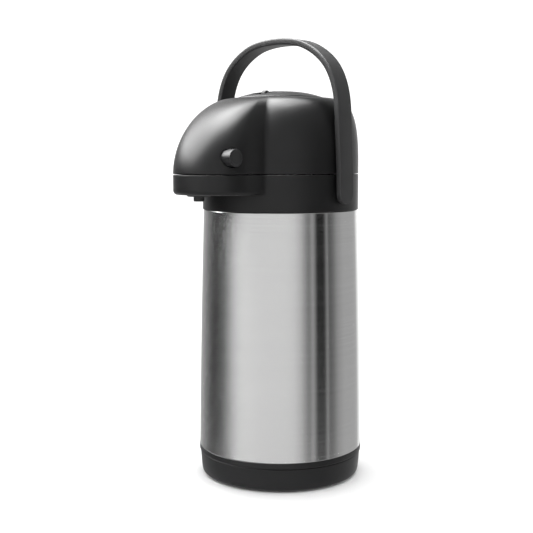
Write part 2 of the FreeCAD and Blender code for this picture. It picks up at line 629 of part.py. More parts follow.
# the lock: knob above the disc, stem through its slot, tongue under it
knob = doc.addObject("Part::Wedge", "lock_knob")
knob.Xmin, knob.Xmax, knob.X2min, knob.X2max = -3.5, 3.5, -1.4, 1.4
knob.Ymin, knob.Ymax = 0.0, 3.8
knob.Zmin, knob.Zmax, knob.Z2min, knob.Z2max = 0.0, 7.3, 3.0, 4.8
place(knob, 0, -17.8, knob_floor + 0.2, V(1, 0, 0), 90.0)
stem = box("lock_stem", -2.2, -23.6, lt - 5.6, 4.4, 4.6, 9.6)
tongue = box("lock_tongue", -4.2, -43.4, lt - 7.3, 8.4, 28.0, 2.5)
keep(fuse("lock_slider_body", knob, stem, tongue), "lock_slider")

# ---------------------------------------------------------------- release button
ry, rz = S["release_y"], S["release_z"]
rf = S["release_face"]
keep(fuse("release_body",
          rod_x("release_cap", S["release_radius"], rf - 24.0, 24.0, -ry, rz),
          box("release_back", 22.2, -106.0, 299.6, 1.8, 16.5, 16.4),
          box("release_arm", 22.2, -105.5, 285.0, 2.0, 8.0, 15.0),
          box("release_tooth", 22.2, -105.5, 285.0, 9.0, 8.0, 2.6)), "release_button")
keep(shaped("release_coil", helix_spring(3.2, 1.0, 5, 16.9, 16)), "release_spring")
NODES[-1].Placement = FreeCAD.Placement(V(5.2, -num(ry), num(rz)), FreeCAD.Rotation(V(0, 1, 0), 90))

# ---------------------------------------------------------------- bail
bp = num(S["bail_pivot_z"])
bo = num(S["bail_outer"])
bth = num(S["bail_thick"])
bw = num(S["bail_width"])
bc = num(S["bail_crown_z"])
half_outer = [(bo, bp), (bo - 0.9, bp + 30.0), (bo - 2.6, bp + 60.0), (bo - 4.6, bp + 88.0),
              (bo - 10.4, bp + 107.7), (bo - 17.2, bp + 119.2), (bo - 28.9, bp + 130.6),
              (bo - 41.0, bp + 138.0), (bo - 50.3, bp + 141.9), (bo - 66.0, bc - 1.0), (0.0, bc)]
outer_pts = [V(x, 0, z) for x, z in half_outer] + [V(-x, 0, z) for x, z in reversed(half_outer[:-1])]
outer_curve = Part.BSplineCurve()
outer_curve.interpolate(Points=outer_pts)
count = 48
first, last = outer_curve.FirstParameter, outer_curve.LastParameter
inner_pts = []
for i in range(count + 1):
    u = first + (last - first) * i / count
    p, t = outer_curve.value(u), outer_curve.tangent(u)[0]
    inward = V(t.z, 0, -t.x)
    if inward.dot(V(0, 0, 300) - p) < 0:
        inward = -inward
    inner_pts.append(p + inward * bth)
inner_curve = Part.BSplineCurve()
inner_curve.interpolate(Points=inner_pts)
tip = bw / 2
a, b = outer_pts[0], inner_pts[0]
c, d = outer_pts[-1], inner_pts[-1]
drop = V(0, 0, -tip)
band = Part.Wire([
    Part.makeLine(a + drop, a), outer_curve.toShape(), Part.makeLine(c, c + drop),
    Part.makeLine(c + drop, d + drop), Part.makeLine(d + drop, d), inner_curve.toShape(),
    Part.makeLine(b, b + drop), Part.makeLine(b + drop, a + drop)])
band_solid = Part.Face(band).extrude(V(0, bw, 0))
band_solid.translate(V(0, -bw / 2, 0))
# the legs end round, about the pivots
ends = [e for e in band_solid.Edges if e.BoundBox.ZMax < bp - tip + 0.2 and e.BoundBox.YLength < 0.01]
band_solid = band_solid.makeFillet(bw / 2 - 0.15, ends)
# and the band's long edges are eased
bail_form = shaped("bail_form", band_solid)
bail_bores = fuse("bail_bores",
                  rod_x("bail_bore_r", S["pin_radius"] + S["pin_clear"], 6.0, 76.3, 0, S["bail_pivot_z"]),
                  rod_x("bail_bore_l", S["pin_radius"] + S["pin_clear"], 6.0, -82.3, 0, S["bail_pivot_z"]))
keep(cut("bail_body", bail_form, bail_bores), "bail_handle")
pins = []
for q, x0, xh in (("r", 72.0, 70.2), ("l", -82.0, -72.0)):
    pins.append(fuse("bail_pin_" + q, rod_x("pin_shank_" + q, S["pin_radius"], 10.0, x0, 0, S["bail_pivot_z"]),
                     rod_x("pin_head_" + q, S["pin_radius"] + 2.0, 1.8, xh, 0, S["bail_pivot_z"])))
keep(fuse("bail_pins_set", *pins), "bail_pins")

# ---------------------------------------------------------------- write
doc.recompute()
bad = [o.Name for o in doc.Objects if "Invalid" in o.State or "Error" in o.State]
if bad:
    raise RuntimeError("these objects failed: " + ", ".join(bad))
for sk in doc.Objects:
    if sk.TypeId == "Sketcher::SketchObject" and sk.solve() != 0:
        raise RuntimeError("sketch does not solve: " + sk.Name)
os.makedirs("parts", exist_ok=True)
for node in NODES:
    shape = node.Shape
    if shape.isNull() or not shape.isValid() or not shape.Solids:
        raise RuntimeError("no good solid in " + node.Label)
    print("%-22s solids %d  volume %10.1f  z %7.2f to %7.2f" % (
        node.Label, len(shape.Solids), shape.Volume, shape.BoundBox.ZMin, shape.BoundBox.ZMax))
for node in NODES:
    node.Shape.exportStep(os.path.join("parts", node.Label + ".step"))
print(len(NODES), "pieces")
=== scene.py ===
import json
import math

import bmesh
import bpy
import numpy as np
from mathutils import Matrix, Vector


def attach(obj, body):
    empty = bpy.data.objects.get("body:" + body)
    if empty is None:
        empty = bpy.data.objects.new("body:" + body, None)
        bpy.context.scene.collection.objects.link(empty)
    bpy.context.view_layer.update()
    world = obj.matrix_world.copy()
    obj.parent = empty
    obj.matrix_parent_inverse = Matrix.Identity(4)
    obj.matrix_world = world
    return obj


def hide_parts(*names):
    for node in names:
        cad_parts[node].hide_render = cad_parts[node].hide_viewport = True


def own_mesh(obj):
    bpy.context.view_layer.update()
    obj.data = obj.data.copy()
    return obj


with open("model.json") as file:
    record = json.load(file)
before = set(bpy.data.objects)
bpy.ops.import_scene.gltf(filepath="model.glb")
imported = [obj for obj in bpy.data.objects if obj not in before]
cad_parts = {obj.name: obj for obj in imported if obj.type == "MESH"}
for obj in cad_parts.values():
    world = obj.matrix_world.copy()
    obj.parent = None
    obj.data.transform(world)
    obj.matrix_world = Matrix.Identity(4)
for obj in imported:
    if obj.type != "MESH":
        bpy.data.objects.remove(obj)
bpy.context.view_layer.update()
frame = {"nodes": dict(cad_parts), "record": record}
NODES = frame["nodes"]
K = 0.001  # the pieces below are written in millimetres


# ------------------------------------------------------------------ sizes (mm)
SEAM = 29.3
R_LOW, R_MID, R_TOP = 80.0, 77.9, 75.0
R0, HALF, CENTRE, VALLEY = 75.8, 40.0, 86.0, 8.0
C_LOW, C_TOP, DECK, NOSE_Z = 261.5, 295.5, 277.0, 277.5
L_LOW, L_TOP, L_RIM = 296.1, 367.6, 46.0
N_NOSE, N_BACK = 1.85, 3.1
WELL, BUTTON, CROWN, FLANGE = 42.6, 42.2, 375.0, 45.3
OUT = 108.5
RY, RZ, RR, RF = 101.5, 310.7, 8.0, 40.6
BP, BO, BT, BW, BC = 278.3, 84.0, 6.0, 19.5, 424.5


# ------------------------------------------------------------------ mesh makers
def link(ob):
    bpy.context.scene.collection.objects.link(ob)
    return ob


def make(name, verts, faces, sharp=None):
    me = bpy.data.meshes.new(name)
    me.from_pydata((np.asarray(verts, float) * K).tolist(), [], faces)
    bm = bmesh.new()
    bm.from_mesh(me)
    bmesh.ops.remove_doubles(bm, verts=bm.verts, dist=2e-6)
    bmesh.ops.dissolve_degenerate(bm, edges=bm.edges, dist=1e-6)
    bmesh.ops.recalc_face_normals(bm, faces=bm.faces)
    bm.to_mesh(me)
    bm.free()
    me.polygons.foreach_set("use_smooth", [True] * len(me.polygons))
    if sharp:
        me.set_sharp_from_angle(angle=math.radians(sharp))
    return link(bpy.data.objects.new(name, me))


def skin(rows, loop=True, ring=True):
    """Quads between rows of points. ring: each row closes on itself. loop: the last row joins the first."""
    rows = np.asarray(rows, float)
    nv, nu, _ = rows.shape
    faces = []
    for i in range(nv if loop else nv - 1):
        a, b = i * nu, ((i + 1) % nv) * nu
        for j in range(nu if ring else nu - 1):
            k = (j + 1) % nu
            faces.append((a + j, a + k, b + k, b + j))
    return rows.reshape(-1, 3), faces


def ease(points, radius=0.4, closed=True, steps=4):
    """Rounds the corners of an outline, with a holding point each side so that flat faces stay flat in the shading."""
    out = []
    n = len(points)
    for i, p in enumerate(points):
        r = p[2] if len(p) > 2 else radius
        p = np.array(p[:2], float)
        if not closed and i in (0, n - 1):
            out.append(p)
            continue
        a, b = np.array(points[i - 1][:2], float), np.array(points[(i + 1) % n][:2], float)
        u, w = a - p, b - p
        lu, lw = np.linalg.norm(u), np.linalg.norm(w)
        if lu < 1e-6 or lw < 1e-6:
            continue
        u, w = u / lu, w / lw
        turn = math.pi - math.acos(max(-1, min(1, float(u @ w))))
        on_axis = p[0] < 1e-6
        if turn < math.radians(9) or r <= 0 or on_axis:
            out.append(p)
            continue
        d = min(r * math.tan(turn / 2), 0.36 * lu, 0.36 * lw)
        hold_u, hold_w = min(d * 1.7, 0.48 * lu), min(d * 1.7, 0.48 * lw)
        out.append(p + u * hold_u)
        s, e = p + u * d, p + w * d
        for k in range(steps + 1):
            t = k / steps
            out.append((1 - t) ** 2 * s + 2 * t * (1 - t) * p + t * t * e)
        out.append(p + w * hold_w)
    return np.array(out)


def around(outline, seg, x=0.0, y=0.0, turn=None):
    ang = np.arange(seg) * 2 * math.pi / seg
    rows = np.zeros((len(outline), seg, 3))
    for i, (r, z) in enumerate(outline):
        rows[i, :, 0] = x + r * np.sin(ang)
        rows[i, :, 1] = y - r * np.cos(ang)
        rows[i, :, 2] = z
    return rows


def lathe(name, points, seg=160, radius=0.4, x=0.0, y=0.0, steps=4, sharp=None):
    v, f = skin(around(ease(points, radius, steps=steps), seg, x, y))
    return make(name, v, f, sharp)


def lathe_x(name, points, yy, zz, seg=64, radius=0.4):
    """Turned about an axis along X: points are (radius, x)."""
    out = ease(points, radius)
    ang = np.arange(seg) * 2 * math.pi / seg
    rows = np.zeros((len(out), seg, 3))
    for i, (r, x) in enumerate(out):
        rows[i, :, 0] = x
        rows[i, :, 1] = yy + r * np.cos(ang)
        rows[i, :, 2] = zz + r * np.sin(ang)
    v, f = skin(rows)
    return make(name, v, f)


def slab(name, low, high, edge=0.5, taper=None):
    """A block with rounded edges: rows of rounded rectangles stacked along Z."""
    low, high = np.array(low, float), np.array(high, float)
    c, h = (low + high) / 2, (high - low) / 2
    e = min(edge, h.min() * 0.7)
    zs = [(-h[2], e)] + [(-h[2] + e * (1 - math.cos(t)), e * (1 - math.sin(t))) for t in np.linspace(0.3, math.pi / 2, 5)]
    zs += [(-z, s) for z, s in reversed(zs)]
    rows = []
    for z, s in zs:
        f = 1.0 if taper is None else 1.0 + (taper - 1.0) * (z + h[2]) / (2 * h[2])
        row = []
        for qx, qy, a0 in ((1, 1, 0), (-1, 1, 90), (-1, -1, 180), (1, -1, 270)):
            for a in np.linspace(0, 90, 6):
                t = math.radians(a0 + a)
                row.append((c[0] + f * (qx * (h[0] - e) + (e - s) * math.cos(t)),
                            c[1] + f * (qy * (h[1] - e) + (e - s) * math.sin(t)), c[2] + z))
        rows.append(row)
    v, f = skin(rows, loop=False)
    n = len(rows[0])
    f = list(f) + [tuple(range(n))[::-1], tuple(range(len(v) - n, len(v)))]
    return make(name, v, f)


def join(name, *obs):
    """Several shells as one piece."""
    bm = bmesh.new()
    for o in obs:
        o.data.transform(o.matrix_world)
        bm.from_mesh(o.data)
    me = bpy.data.meshes.new(name)
    bm.to_mesh(me)
    bm.free()
    for o in obs:
        bpy.data.objects.remove(o)
    me.polygons.foreach_set("use_smooth", [True] * len(me.polygons))
    return link(bpy.data.objects.new(name, me))


def carve(ob, *tools, sharp=35):
    """ob with the tools cut out of it."""
    for t in tools:
        m = ob.modifiers.new("cut", "BOOLEAN")
        m.operation, m.solver, m.object = "DIFFERENCE", "EXACT", t
        bpy.context.view_layer.update()
        dg = bpy.context.evaluated_depsgraph_get()
        me = bpy.data.meshes.new_from_object(ob.evaluated_get(dg))
        ob.modifiers.clear()
        old = ob.data
        ob.data = me
        bpy.data.meshes.remove(old)
    for t in tools:
        bpy.data.objects.remove(t)
    bm = bmesh.new()
    bm.from_mesh(ob.data)
    bmesh.ops.triangulate(bm, faces=[f for f in bm.faces if len(f.verts) > 4])
    bm.to_mesh(ob.data)
    bm.free()
    ob.data.polygons.foreach_set("use_smooth", [True] * len(ob.data.polygons))
    ob.data.set_sharp_from_angle(angle=math.radians(sharp))
    return ob


def spline(points, count):
    """Smooth curve through the points (natural cubic in chord length)."""
    p = np.array(points, float)
    t = np.concatenate([[0], np.cumsum(np.linalg.norm(np.diff(p, axis=0), axis=1))])
    n = len(p)
    h = np.diff(t)
    a = np.zeros((n, n))
    r = np.zeros((n, p.shape[1]))
    a[0, 0] = a[-1, -1] = 1
    for i in range(1, n - 1):
        a[i, i - 1], a[i, i], a[i, i + 1] = h[i - 1], 2 * (h[i - 1] + h[i]), h[i]
        r[i] = 6 * ((p[i + 1] - p[i]) / h[i] - (p[i] - p[i - 1]) / h[i - 1])
    m = np.linalg.solve(a, r)
    out = []
    for s in np.linspace(0, t[-1], count):
        i = min(max(int(np.searchsorted(t, s, side="right")) - 1, 0), n - 2)
        u, w = t[i + 1] - s, s - t[i]
        out.append((m[i] * u ** 3 + m[i + 1] * w ** 3) / (6 * h[i])
                   + (p[i] / h[i] - m[i] * h[i] / 6) * u + (p[i + 1] / h[i] - m[i + 1] * h[i] / 6) * w)
    return np.array(out)


# ------------------------------------------------------------------ outline of the head
def polar(angle, radius, half, centre, valley):
    a = abs(math.remainder(angle, 2 * math.pi))
    dx, dy = math.sin(a), -math.cos(a)
    yf = -math.sqrt((radius + valley) ** 2 - (half + valley) ** 2)
    cx, cy = half + valley, yf
    k = radius / (radius + valley)
    if a >= math.atan2(cx * k, -cy * k):
        return radius
    if a >= math.atan2(half, -yf):
        b = dx * cx + dy * cy
        return b - math.sqrt(max(b * b - (cx * cx + cy * cy - valley * valley), 0.0))
    if a >= math.atan2(half, centre):
        return half / dx
    b = -dy * centre
    return b + math.sqrt(b * b - (centre * centre - half * half))


def outline(inset):
    return lambda a: polar(a, R0 - inset, HALF - inset, CENTRE, VALLEY + inset)


def head_angles(count):
    """Angles whose points are evenly spaced along the outline."""
    t = np.linspace(-math.pi, math.pi, 8001)
    r = np.array([polar(a, R0, HALF, CENTRE, VALLEY) for a in t])
    x, y = r * np.sin(t), -r * np.cos(t)
    d = np.hypot(np.diff(x), np.diff(y))
    # more points where the nose runs into the round part
    w = 1.0 + 1.5 * np.exp(-((np.abs(t[:-1]) - 0.62) / 0.16) ** 2)
    s = np.concatenate([[0], np.cumsum(d * w)])
    return np.interp(np.arange(count) * s[-1] / count, s, t)


ANG = head_angles(336)
WID = np.exp(-((ANG / 0.9) ** 2))
EXPO = N_BACK + (N_NOSE - N_BACK) * WID


def ring_at(r, z):
    r = np.broadcast_to(np.asarray(r, float), ANG.shape)
    return np.stack([r * np.sin(ANG), -r * np.cos(ANG), np.broadcast_to(np.asarray(z, float), ANG.shape)], -1)


_cache = {}


def out_r(inset):
    if inset not in _cache:
        f = outline(inset)
        _cache[inset] = np.array([f(a) for a in ANG])
    return _cache[inset]


def dome_row(v, c, inset, low, top, rim):
    r = rim + (out_r(inset) - rim) * c
    return ring_at(r, low + (top - low) * v)


# ------------------------------------------------------------------ materials
def new_mat(name):
    m = bpy.data.materials.new(name)
    m.use_nodes = True
    nt = m.node_tree
    bsdf = nt.nodes["Principled BSDF"]
    return m, nt, bsdf


def node(nt, kind, **values):
    n = nt.nodes.new(kind)
    for k, v in values.items():
        if k in n.inputs:
            n.inputs[k].default_value = v
        else:
            setattr(n, k, v)
    return n


def coords(nt, scale=(1, 1, 1)):
    tc = nt.nodes.new("ShaderNodeTexCoord")
    mp = nt.nodes.new("ShaderNodeMapping")
    mp.inputs["Scale"].default_value = scale
    nt.links.new(tc.outputs["Object"], mp.inputs["Vector"])
    return mp.outputs["Vector"]


def noise(nt, vec, scale, detail=3.0, rough=0.55):
    n = node(nt, "ShaderNodeTexNoise", Scale=scale, Detail=detail, Roughness=rough)
    nt.links.new(vec, n.inputs["Vector"])
    return n.outputs["Fac"]


def remap(nt, value, lo, hi, a=0.3, b=0.7):
    n = node(nt, "ShaderNodeMapRange")
    n.inputs["From Min"].default_value, n.inputs["From Max"].default_value = a, b
    n.inputs["To Min"].default_value, n.inputs["To Max"].default_value = lo, hi
    nt.links.new(value, n.inputs["Value"])
    return n.outputs["Result"]


def two_colours(nt, fac, c1, c2, a=0.3, b=0.7):
    r = nt.nodes.new("ShaderNodeValToRGB")
    r.color_ramp.elements[0].position, r.color_ramp.elements[0].color = a, (*c1, 1)
    r.color_ramp.elements[1].position, r.color_ramp.elements[1].color = b, (*c2, 1)
    nt.links.new(fac, r.inputs["Fac"])
    return r.outputs["Color"]


def bump(nt, height, strength, distance, previous=None):
    b = node(nt, "ShaderNodeBump", Strength=strength, Distance=distance)
    nt.links.new(height, b.inputs["Height"])
    if previous is not None:
        nt.links.new(previous, b.inputs["Normal"])
    return b.outputs["Normal"]


def plastic(name, base, rough, spec=0.34, grain=0.42, depth=0.00005, strength=0.5, cloud=0.12):
    """Moulded plastic with a spark-eroded texture."""
    m, nt, p = new_mat(name)
    v = coords(nt)
    fine = noise(nt, v, 1.0 / (grain * K), 2.0, 0.6)
    wide = noise(nt, v, 38.0, 4.0, 0.6)
    c = np.array(base)
    nt.links.new(two_colours(nt, wide, c * (1 - cloud), c * (1 + cloud)), p.inputs["Base Color"])
    speck = remap(nt, fine, rough - 0.05, rough + 0.06)
    nt.links.new(speck, p.inputs["Roughness"])
    n = bump(nt, fine, strength, depth)
    n = bump(nt, wide, 0.12, 0.0002, n)
    nt.links.new(n, p.inputs["Normal"])
    p.inputs["Specular IOR Level"].default_value = spec
    return m


def brushed(name, base, rough, around_z=True, aniso=0.75, streak=0.03):
    """Sheet steel brushed around the body: long fine lines, a little uneven."""
    m, nt, p = new_mat(name)
    p.inputs["Metallic"].default_value = 1.0
    s = (9.0, 9.0, 3400.0) if around_z else (700.0, 700.0, 700.0)
    v = coords(nt, s)
    fine = noise(nt, v, 1.0, 5.0, 0.75)
    v2 = coords(nt, (5.0, 5.0, 620.0) if around_z else (60.0, 60.0, 60.0))
    wide = noise(nt, v2, 1.0, 4.0, 0.65)
    mix = node(nt, "ShaderNodeMath", operation="ADD")
    wide_share = node(nt, "ShaderNodeMath", operation="MULTIPLY")
    wide_share.inputs[1].default_value = 0.35
    nt.links.new(wide, wide_share.inputs[0])
    nt.links.new(fine, mix.inputs[0])
    nt.links.new(wide_share.outputs[0], mix.inputs[1])
    half = node(nt, "ShaderNodeMath", operation="MULTIPLY")
    half.inputs[1].default_value = 1 / 1.35
    nt.links.new(mix.outputs[0], half.inputs[0])
    c = np.array(base)
    nt.links.new(two_colours(nt, half.outputs[0], c * (1 - streak), np.minimum(c * (1 + streak), 1), 0.38, 0.62), p.inputs["Base Color"])
    nt.links.new(remap(nt, half.outputs[0], rough - 0.03, rough + 0.03, 0.38, 0.62), p.inputs["Roughness"])
    nt.links.new(bump(nt, fine, 0.10, 0.00001), p.inputs["Normal"])
    if around_z:
        p.inputs["Anisotropic"].default_value = aniso
        p.inputs["Anisotropic Rotation"].default_value = 0.25
        t = node(nt, "ShaderNodeTangent", direction_type="RADIAL", axis="Z")
        nt.links.new(t.outputs["Tangent"], p.inputs["Tangent"])
    return m


def rubber(name, base, rough, grain=0.8, sheen=0.0):
    m, nt, p = new_mat(name)
    v = coords(nt)
    fine = noise(nt, v, 1.0 / (grain * K), 4.0, 0.6)
    wide = noise(nt, v, 55.0, 3.0)
    c = np.array(base)
    nt.links.new(two_colours(nt, wide, c * 0.86, np.minimum(c * 1.12, 1)), p.inputs["Base Color"])
    nt.links.new(remap(nt, fine, rough - 0.06, rough + 0.06), p.inputs["Roughness"])
    nt.links.new(bump(nt, fine, 0.35, 0.00006), p.inputs["Normal"])
    p.inputs["Specular IOR Level"].default_value = 0.3
    p.inputs["Sheen Weight"].default_value = sheen
    return m


def plated(name, base, rough):
    m, nt, p = new_mat(name)
    p.inputs["Metallic"].default_value = 1.0
    v = coords(nt)
    cloud = noise(nt, v, 420.0, 4.0)
    c = np.array(base)
    nt.links.new(two_colours(nt, cloud, c * 0.9, np.minimum(c * 1.06, 1)), p.inputs["Base Color"])
    nt.links.new(remap(nt, cloud, rough - 0.06, rough + 0.08), p.inputs["Roughness"])
    nt.links.new(bump(nt, cloud, 0.1, 0.00003), p.inputs["Normal"])
    return m


MATS = {
    "base_black": plastic("base_black", (0.0085, 0.0085, 0.0090), 0.40, 0.30, 0.5, 0.00004),
    "head_black": plastic("head_black", (0.0060, 0.0060, 0.0063), 0.36, 0.31, 0.45, 0.00007, 0.65),
    "bail_black": plastic("bail_black", (0.019, 0.019, 0.0195), 0.44, 0.42, 0.5, 0.00005),
    "button_black": plastic("button_black", (0.012, 0.012, 0.0125), 0.36, 0.40, 0.5, 0.00004),
    "spout_black": plastic("spout_black", (0.008, 0.008, 0.0082), 0.30, 0.40, 0.7, 0.00002, 0.3),
    "inner_plastic": plastic("inner_plastic", (0.72, 0.715, 0.69), 0.42, 0.45, 0.7, 0.00003, 0.3, 0.03),
    "acetal": plastic("acetal", (0.78, 0.78, 0.75), 0.35, 0.5, 0.6, 0.00002, 0.3, 0.03),
    "shell_steel": brushed("shell_steel", (0.64, 0.64, 0.638), 0.19, aniso=0.85, streak=0.045),
    "liner_steel": brushed("liner_steel", (0.58, 0.575, 0.565), 0.30, aniso=0.5),
    "zinc_steel": plated("zinc_steel", (0.66, 0.67, 0.68), 0.30),
    "spring_steel": plated("spring_steel", (0.50, 0.50, 0.51), 0.26),
    "silicone": rubber("silicone", (0.66, 0.655, 0.63), 0.42),
    "bellows_rubber": rubber("bellows_rubber", (0.055, 0.055, 0.057), 0.55, sheen=0.1),
    "foot_rubber": rubber("foot_rubber", (0.018, 0.018, 0.018), 0.62),
}
SLOT = {s["node"]: s["material_slot"] for s in frame["record"]["subparts"]}
for name, ob in NODES.items():
    ob.data.materials.clear()
    ob.data.materials.append(MATS[SLOT[name]])


def dress(ob, body, node_name, *more, slot=None):
    """Material, body and the CAD node that the piece stands for."""
    s = slot or SLOT[node_name]
    ob.data.materials.clear()
    ob.data.materials.append(MATS[s])
    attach(ob, body)
    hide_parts(node_name, *more)
    return ob


# ------------------------------------------------------------------ foot and base
sw_top = SEAM - 6.1
base = lathe("turning_base", [
    (5.3, 7.0, 0), (13.0, 7.0), (13.0, 1.0), (58.0, 1.0), (58.0, 2.5, 0), (70.0, 2.5, 0),
    (70.0, 1.0, 0), (73.6, 1.0), (75.9, 1.6, 1.2), (77.3, 3.2, 1.6), (77.9, 5.6, 2), (78.25, 9.0, 6),
    (R_LOW - 0.5, sw_top, 0.7), (76.4, sw_top), (75.6, 8.0), (74.0, 4.5),
    (66.0, 4.5), (66.0, 20.0), (60.0, 20.0), (60.0, 4.5), (16.0, 4.5), (16.0, 10.0),
    (5.3, 10.0, 0.3)], seg=288)
dress(base, "swivel_base", "swivel_base")
foot = lathe("non_slip_ring", [(58.0, 0.4, 0), (58.4, 0.0, 0.2), (69.6, 0.0, 0.2), (70.0, 0.4, 0), (70.0, 2.5, 0), (58.0, 2.5, 0)], seg=224)
dress(foot, "swivel_base", "foot_ring")
trim = lathe("trim_ring", [
    (1.6, 6.7), (5.25, 6.7), (5.25, 23.9), (76.0, 23.9), (R_LOW - 0.1, SEAM - 5.7, 0.5),
    (R_LOW + 0.3, SEAM - 5.0, 1.0), (R_LOW + 0.3, SEAM - 0.5, 0.5), (R_LOW - 0.1, SEAM, 0.3),
    (R_LOW - 0.8, SEAM, 0), (R_LOW - 0.8, 40.0), (76.5, 40.0), (76.5, 27.0), (9.0, 27.0),
    (9.0, 30.0), (1.6, 30.0)], seg=288)
dress(trim, "pot", "base_ring")


# ------------------------------------------------------------------ steel shell
def arc_through(a, b, c, n):
    """Points on the circle through three points."""
    (x1, y1), (x2, y2), (x3, y3) = a, b, c
    d = 2 * (x1 * (y2 - y3) + x2 * (y3 - y1) + x3 * (y1 - y2))
    ux = ((x1 ** 2 + y1 ** 2) * (y2 - y3) + (x2 ** 2 + y2 ** 2) * (y3 - y1) + (x3 ** 2 + y3 ** 2) * (y1 - y2)) / d
    uy = ((x1 ** 2 + y1 ** 2) * (x3 - x2) + (x2 ** 2 + y2 ** 2) * (x1 - x3) + (x3 ** 2 + y3 ** 2) * (x2 - x1)) / d
    r = math.hypot(x1 - ux, y1 - uy)
    s, e = math.atan2(y1 - uy, x1 - ux), math.atan2(y3 - uy, x3 - ux)
    return [(ux + r * math.cos(t), uy + r * math.sin(t), 0) for t in np.linspace(s, e, n)]


wall = 0.6
side_out = arc_through((R_LOW, SEAM), (R_MID, 150.0), (R_TOP, 256.0), 26)
side_in = arc_through((R_TOP - wall, 256.0), (R_MID - wall, 150.0), (R_LOW - wall, SEAM), 14)
# a short step beside the rim, so that its edge doesn't bend the shading of the wall above it
side_out.insert(1, tuple(p + 0.04 * (q - p) for p, q in zip(side_out[0], side_out[1])))
side_in.insert(-1, tuple(p + 0.04 * (q - p) for p, q in zip(side_in[-1], side_in[-2])))
neck_r, lip_z = 36.5, 277.6
shell = lathe("outer_steel_wall", side_out + [
    (R_TOP - 0.05, 260.4, 1.2), (72.6, 264.6, 1.5), (68.0, 267.4, 2), (58.0, 270.2, 2), (46.0, 271.6, 2), (neck_r + 1.5, 272.2, 1.0),
    (neck_r, 273.4, 0.8), (neck_r, lip_z - wall, 0), (neck_r - wall, lip_z - wall, 0), (neck_r - wall, 272.6, 0.5), (neck_r + 1.2, 271.5, 0.5),
    (46.0, 270.9, 1), (57.8, 269.5, 1), (67.6, 266.8, 1), (72.0, 264.2, 1), (R_TOP - 0.7, 260.2, 1)] + side_in, seg=320)
dress(shell, "pot", "outer_shell")


# ------------------------------------------------------------------ collar with the nose's lower half
CW = 3.0


def collar_mesh():
    rho = out_r(0.0)
    over = np.clip((rho - R0) / 7.0, 0, 1)
    over = over * over * (3 - 2 * over)
    rows = []

    def row(r, z):
        rows.append(ring_at(r, z))
    row(75.2, C_LOW + 0.02)
    for t in np.linspace(0, math.pi / 2, 5):
        row(R0 - 0.5 + 0.5 * math.sin(t), C_LOW + 0.5 - 0.5 * math.cos(t))
    row(R0, C_LOW + 1.2)
    row(R0, 268.0)
    row(R0, NOSE_Z - 1.0)
    # underside of the nose
    f = 4.2
    for k in (0.0, 0.02, 0.35, 0.7, 0.93, 1.0):
        row(R0 + (out_r(0.0) - f * over - R0).clip(0) * k, NOSE_Z)
    # rounded lower edge: a quarter ellipse, then a small soft lip
    for t in np.linspace(0, math.pi / 2, 9)[1:]:
        inset = f * over * (1 - math.sin(t))
        row(np.maximum(rho - inset, R0), NOSE_Z + f * (1 - math.cos(t)))
    row(rho, NOSE_Z + f + 1.5)
    row(rho, 289.0)
    row(rho, C_TOP - 1.4)
    e = 0.55
    for t in np.linspace(0, math.pi / 2, 6):
        k = e * (1 - math.cos(t))
        w = k / 3.0
        row(out_r(0.0) * (1 - w) + out_r(CW) * w, C_TOP - e + e * math.sin(t))
    row(out_r(0.0) * 0.7 + out_r(CW) * 0.3, C_TOP)
    row(out_r(0.0) * 0.12 + out_r(CW) * 0.88, C_TOP)
    row(out_r(CW), C_TOP - 0.3)
    row(out_r(CW), C_TOP - 1.0)
    row(out_r(CW), 281.0)
    row(out_r(CW), 280.0)
    row(np.minimum(out_r(CW) - 0.4, 72.8 + (out_r(CW) - 72.8) * 0.5).clip(R0 - CW), 280.0)
    row(72.8, 280.0)
    row(72.8, 277.6)
    row(72.6, 277.0)
    row(60.0, 277.0)
    row(37.4, 277.0)
    row(36.8, 276.6)
    row(36.8, 274.0)
    row(70.0, 274.0)
    row(72.4, 272.0)
    row(72.6, 267.0)
    v, faces = skin(rows)
    return make("shoulder_ring", v, faces)


def prism(name, low, high):
    """A plain cutter for carve()."""
    (a, b, c), (d, e, f) = low, high
    v = [(a, b, c), (d, b, c), (d, e, c), (a, e, c), (a, b, f), (d, b, f), (d, e, f), (a, e, f)]
    return make(name, v, [(0, 3, 2, 1), (4, 5, 6, 7), (0, 1, 5, 4), (1, 2, 6, 5), (2, 3, 7, 6), (3, 0, 4, 7)])


def bar_rows(r, z0, z1, x, y, seg=96):
    """Points and faces of an upright round cutter."""
    ang = np.arange(seg) * 2 * math.pi / seg
    rows = [[(x + r * math.cos(t), y + r * math.sin(t), z) for t in ang] for z in (z0, z1)]
    v, f = skin(rows, loop=False)
    return v, list(f) + [tuple(range(seg))[::-1], tuple(range(seg, 2 * seg))]


def bar_x(name, r, x0, x1, y, z, seg=64):
    ang = np.arange(seg) * 2 * math.pi / seg
    rows = [[(x, y + r * math.cos(t), z + r * math.sin(t)) for t in ang] for x in (x0, x1)]
    v, f = skin(rows, loop=False)
    f = list(f) + [tuple(range(seg))[::-1], tuple(range(seg, 2 * seg))]
    return make(name, v, f)


collar = carve(collar_mesh(), prism("cut_a", (-24.5, 66.0, 288.5), (24.5, 80.0, 300.5)))
lugs = []
for i, x in enumerate((-22.0, 14.0)):
    lugs.append(slab("lug%d" % i, (x, 68.0, 284.0), (x + 8.0, 75.75, 296.4), 0.8))
    lugs.append(lathe_x("lugr%d" % i, [(0.0, x), (4.0, x), (4.0, x + 8.0), (0.0, x + 8.0)], 72.0, 296.0, 48, 0.5))
lugs.append(slab("catch", (31.2, -105.6, 288.6), (34.2, -98.0, 291.0), 0.5))
dress(join("shoulder", collar, *lugs), "pot", "collar")


